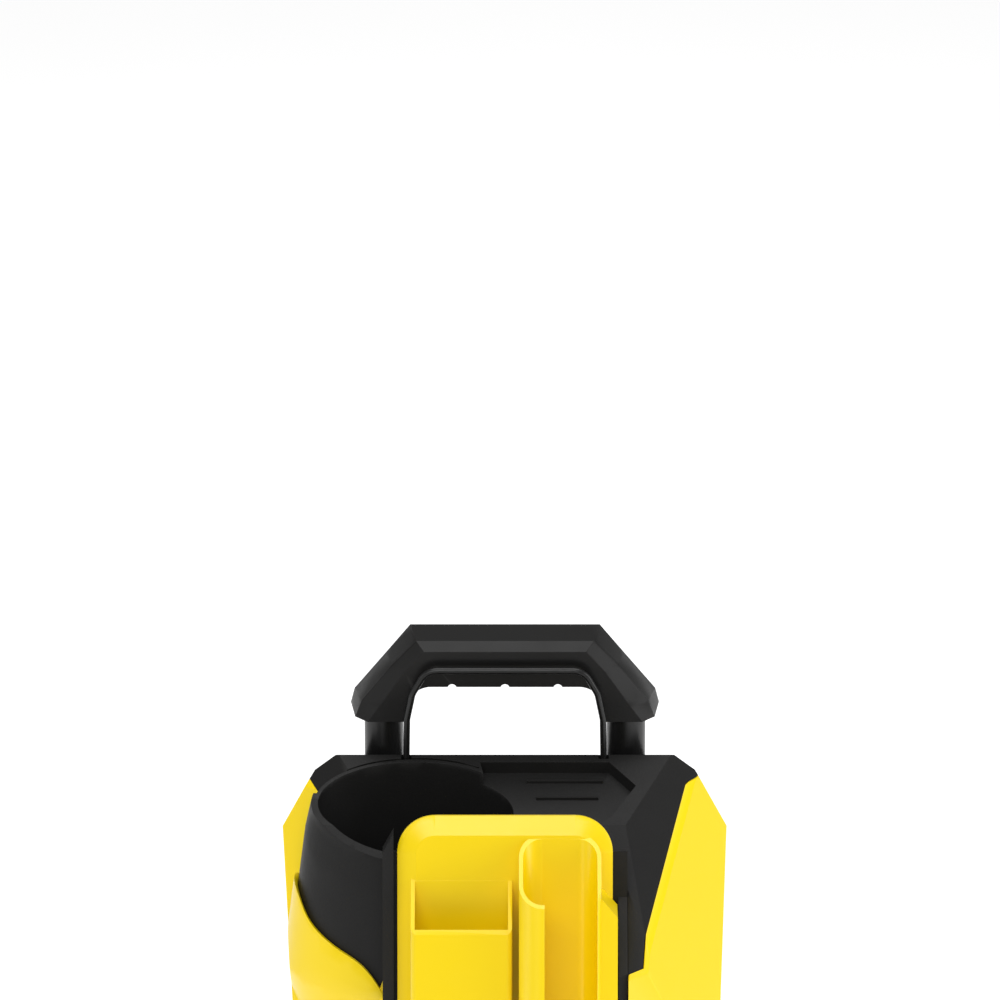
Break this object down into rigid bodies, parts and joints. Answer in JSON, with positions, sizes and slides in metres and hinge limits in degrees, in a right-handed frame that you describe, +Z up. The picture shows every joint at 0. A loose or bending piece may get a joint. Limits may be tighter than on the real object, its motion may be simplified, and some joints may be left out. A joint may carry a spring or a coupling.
{
  "type": "pressure washer",
  "caption": "Upright wheeled electric pressure washer with telescopic handle, bottle well, tray, storage pocket and lance holster.",
  "frame": {"origin": "middle of the footprint at floor level", "axes": "+Z up, -Y to the front where the storage panel is, +X to the right seen from the front"},
  "size_m": [0.3056, 0.411, 0.5824],
  "materials": {
    "black_plastic": "fine spark-eroded grain",
    "yellow_plastic": "satin",
    "red_plastic": "satin",
    "grey_plastic": "satin",
    "black_tube": "satin black",
    "steel": "brushed",
    "aluminium": "cast",
    "brass": "plain",
    "rubber": "matte",
    "tyre": "matte"
  },
  "bodies": {
    "casing": {"top_cover": "black_plastic", "rear_cover": "black_plastic", "left_side_panel": "yellow_plastic", "right_side_panel": "yellow_plastic", "front_nose": "black_plastic", "base": "black_plastic", "storage_frame": "black_plastic", "storage_panel": "yellow_plastic", "carry_grip": "black_plastic", "front_feet": "rubber", "axle": "steel", "wire_bail": "black_tube", "outlet_socket": "black_plastic", "water_inlet": "grey_plastic", "cord_gland": "black_plastic", "hose_hook": "black_plastic", "tube_sleeves": "black_plastic", "tube_bushes": "grey_plastic", "switch_module": "black_plastic", "lock_spring": "steel", "inlet_strainer": "steel", "inlet_nut": "grey_plastic", "casing_screws": "steel", "motor_case": "steel", "motor_end_cap": "black_plastic", "stator": "steel", "motor_bearings": "steel", "wobble_housing": "black_plastic", "pistons": "steel", "piston_springs": "steel", "pump_body": "aluminium", "pump_head": "aluminium", "pump_bolts": "steel", "inlet_pipe": "rubber", "outlet_pipe": "brass", "pressure_switch": "black_plastic", "capacitor": "grey_plastic", "rubber_mounts": "rubber", "detergent_coupling": "black_plastic", "poppet_spring": "steel", "suction_tube": "rubber"},
    "handle": {"left_tube": "black_tube", "right_tube": "black_tube", "tube_plugs": "black_plastic", "handle_grip": "black_plastic", "grip_screws": "steel"},
    "left_wheel_set": {"left_wheel": "black_plastic", "left_tyre": "tyre", "left_hub_cap": "grey_plastic"},
    "right_wheel_set": {"right_wheel": "black_plastic", "right_tyre": "tyre", "right_hub_cap": "grey_plastic"},
    "knob": {"switch_knob": "grey_plastic"},
    "lock_button": {"outlet_lock_button": "red_plastic"},
    "poppet": {"detergent_poppet": "grey_plastic"},
    "cable_hook": {"cable_hook": "black_plastic"},
    "drive": {"rotor": "steel", "motor_shaft": "steel", "fan": "black_plastic", "wobble_plate": "steel"}
  },
  "joints": [
    {"name": "handle_slide", "type": "slide", "parent": "casing", "child": "handle", "axis": [0, 0, 1], "range_m": [0, 0.43]},
    {"name": "left_wheel_spin", "type": "hinge", "parent": "casing", "child": "left_wheel_set", "pos_m": [-0.14, 0.104, 0.08], "axis": [1, 0, 0], "continuous": true},
    {"name": "right_wheel_spin", "type": "hinge", "parent": "casing", "child": "right_wheel_set", "pos_m": [0.14, 0.104, 0.08], "axis": [1, 0, 0], "continuous": true},
    {"name": "switch_turn", "type": "hinge", "parent": "casing", "child": "knob", "pos_m": [0, -0.1275, 0.2135], "axis": [0, -0.87, 0.493], "range_deg": [0, 90]},
    {"name": "lock_press", "type": "slide", "parent": "casing", "child": "lock_button", "axis": [0, 0, -1], "range_m": [0, 0.003], "stiffness_N_per_m": 400, "springref_m": -0.004, "deforming": ["lock_spring"]},
    {"name": "poppet_press", "type": "slide", "parent": "casing", "child": "poppet", "axis": [0, 0, -1], "range_m": [0, 0.005], "stiffness_N_per_m": 400, "springref_m": -0.004, "deforming": ["poppet_spring"]},
    {"name": "hook_turn", "type": "hinge", "parent": "casing", "child": "cable_hook", "pos_m": [0, 0.15, 0.42], "axis": [0, 1, 0], "range_deg": [0, 180]},
    {"name": "drive_spin", "type": "hinge", "parent": "casing", "child": "drive", "pos_m": [0.01, 0.032, 0.25], "axis": [0, 0, 1], "continuous": true}
  ]
}
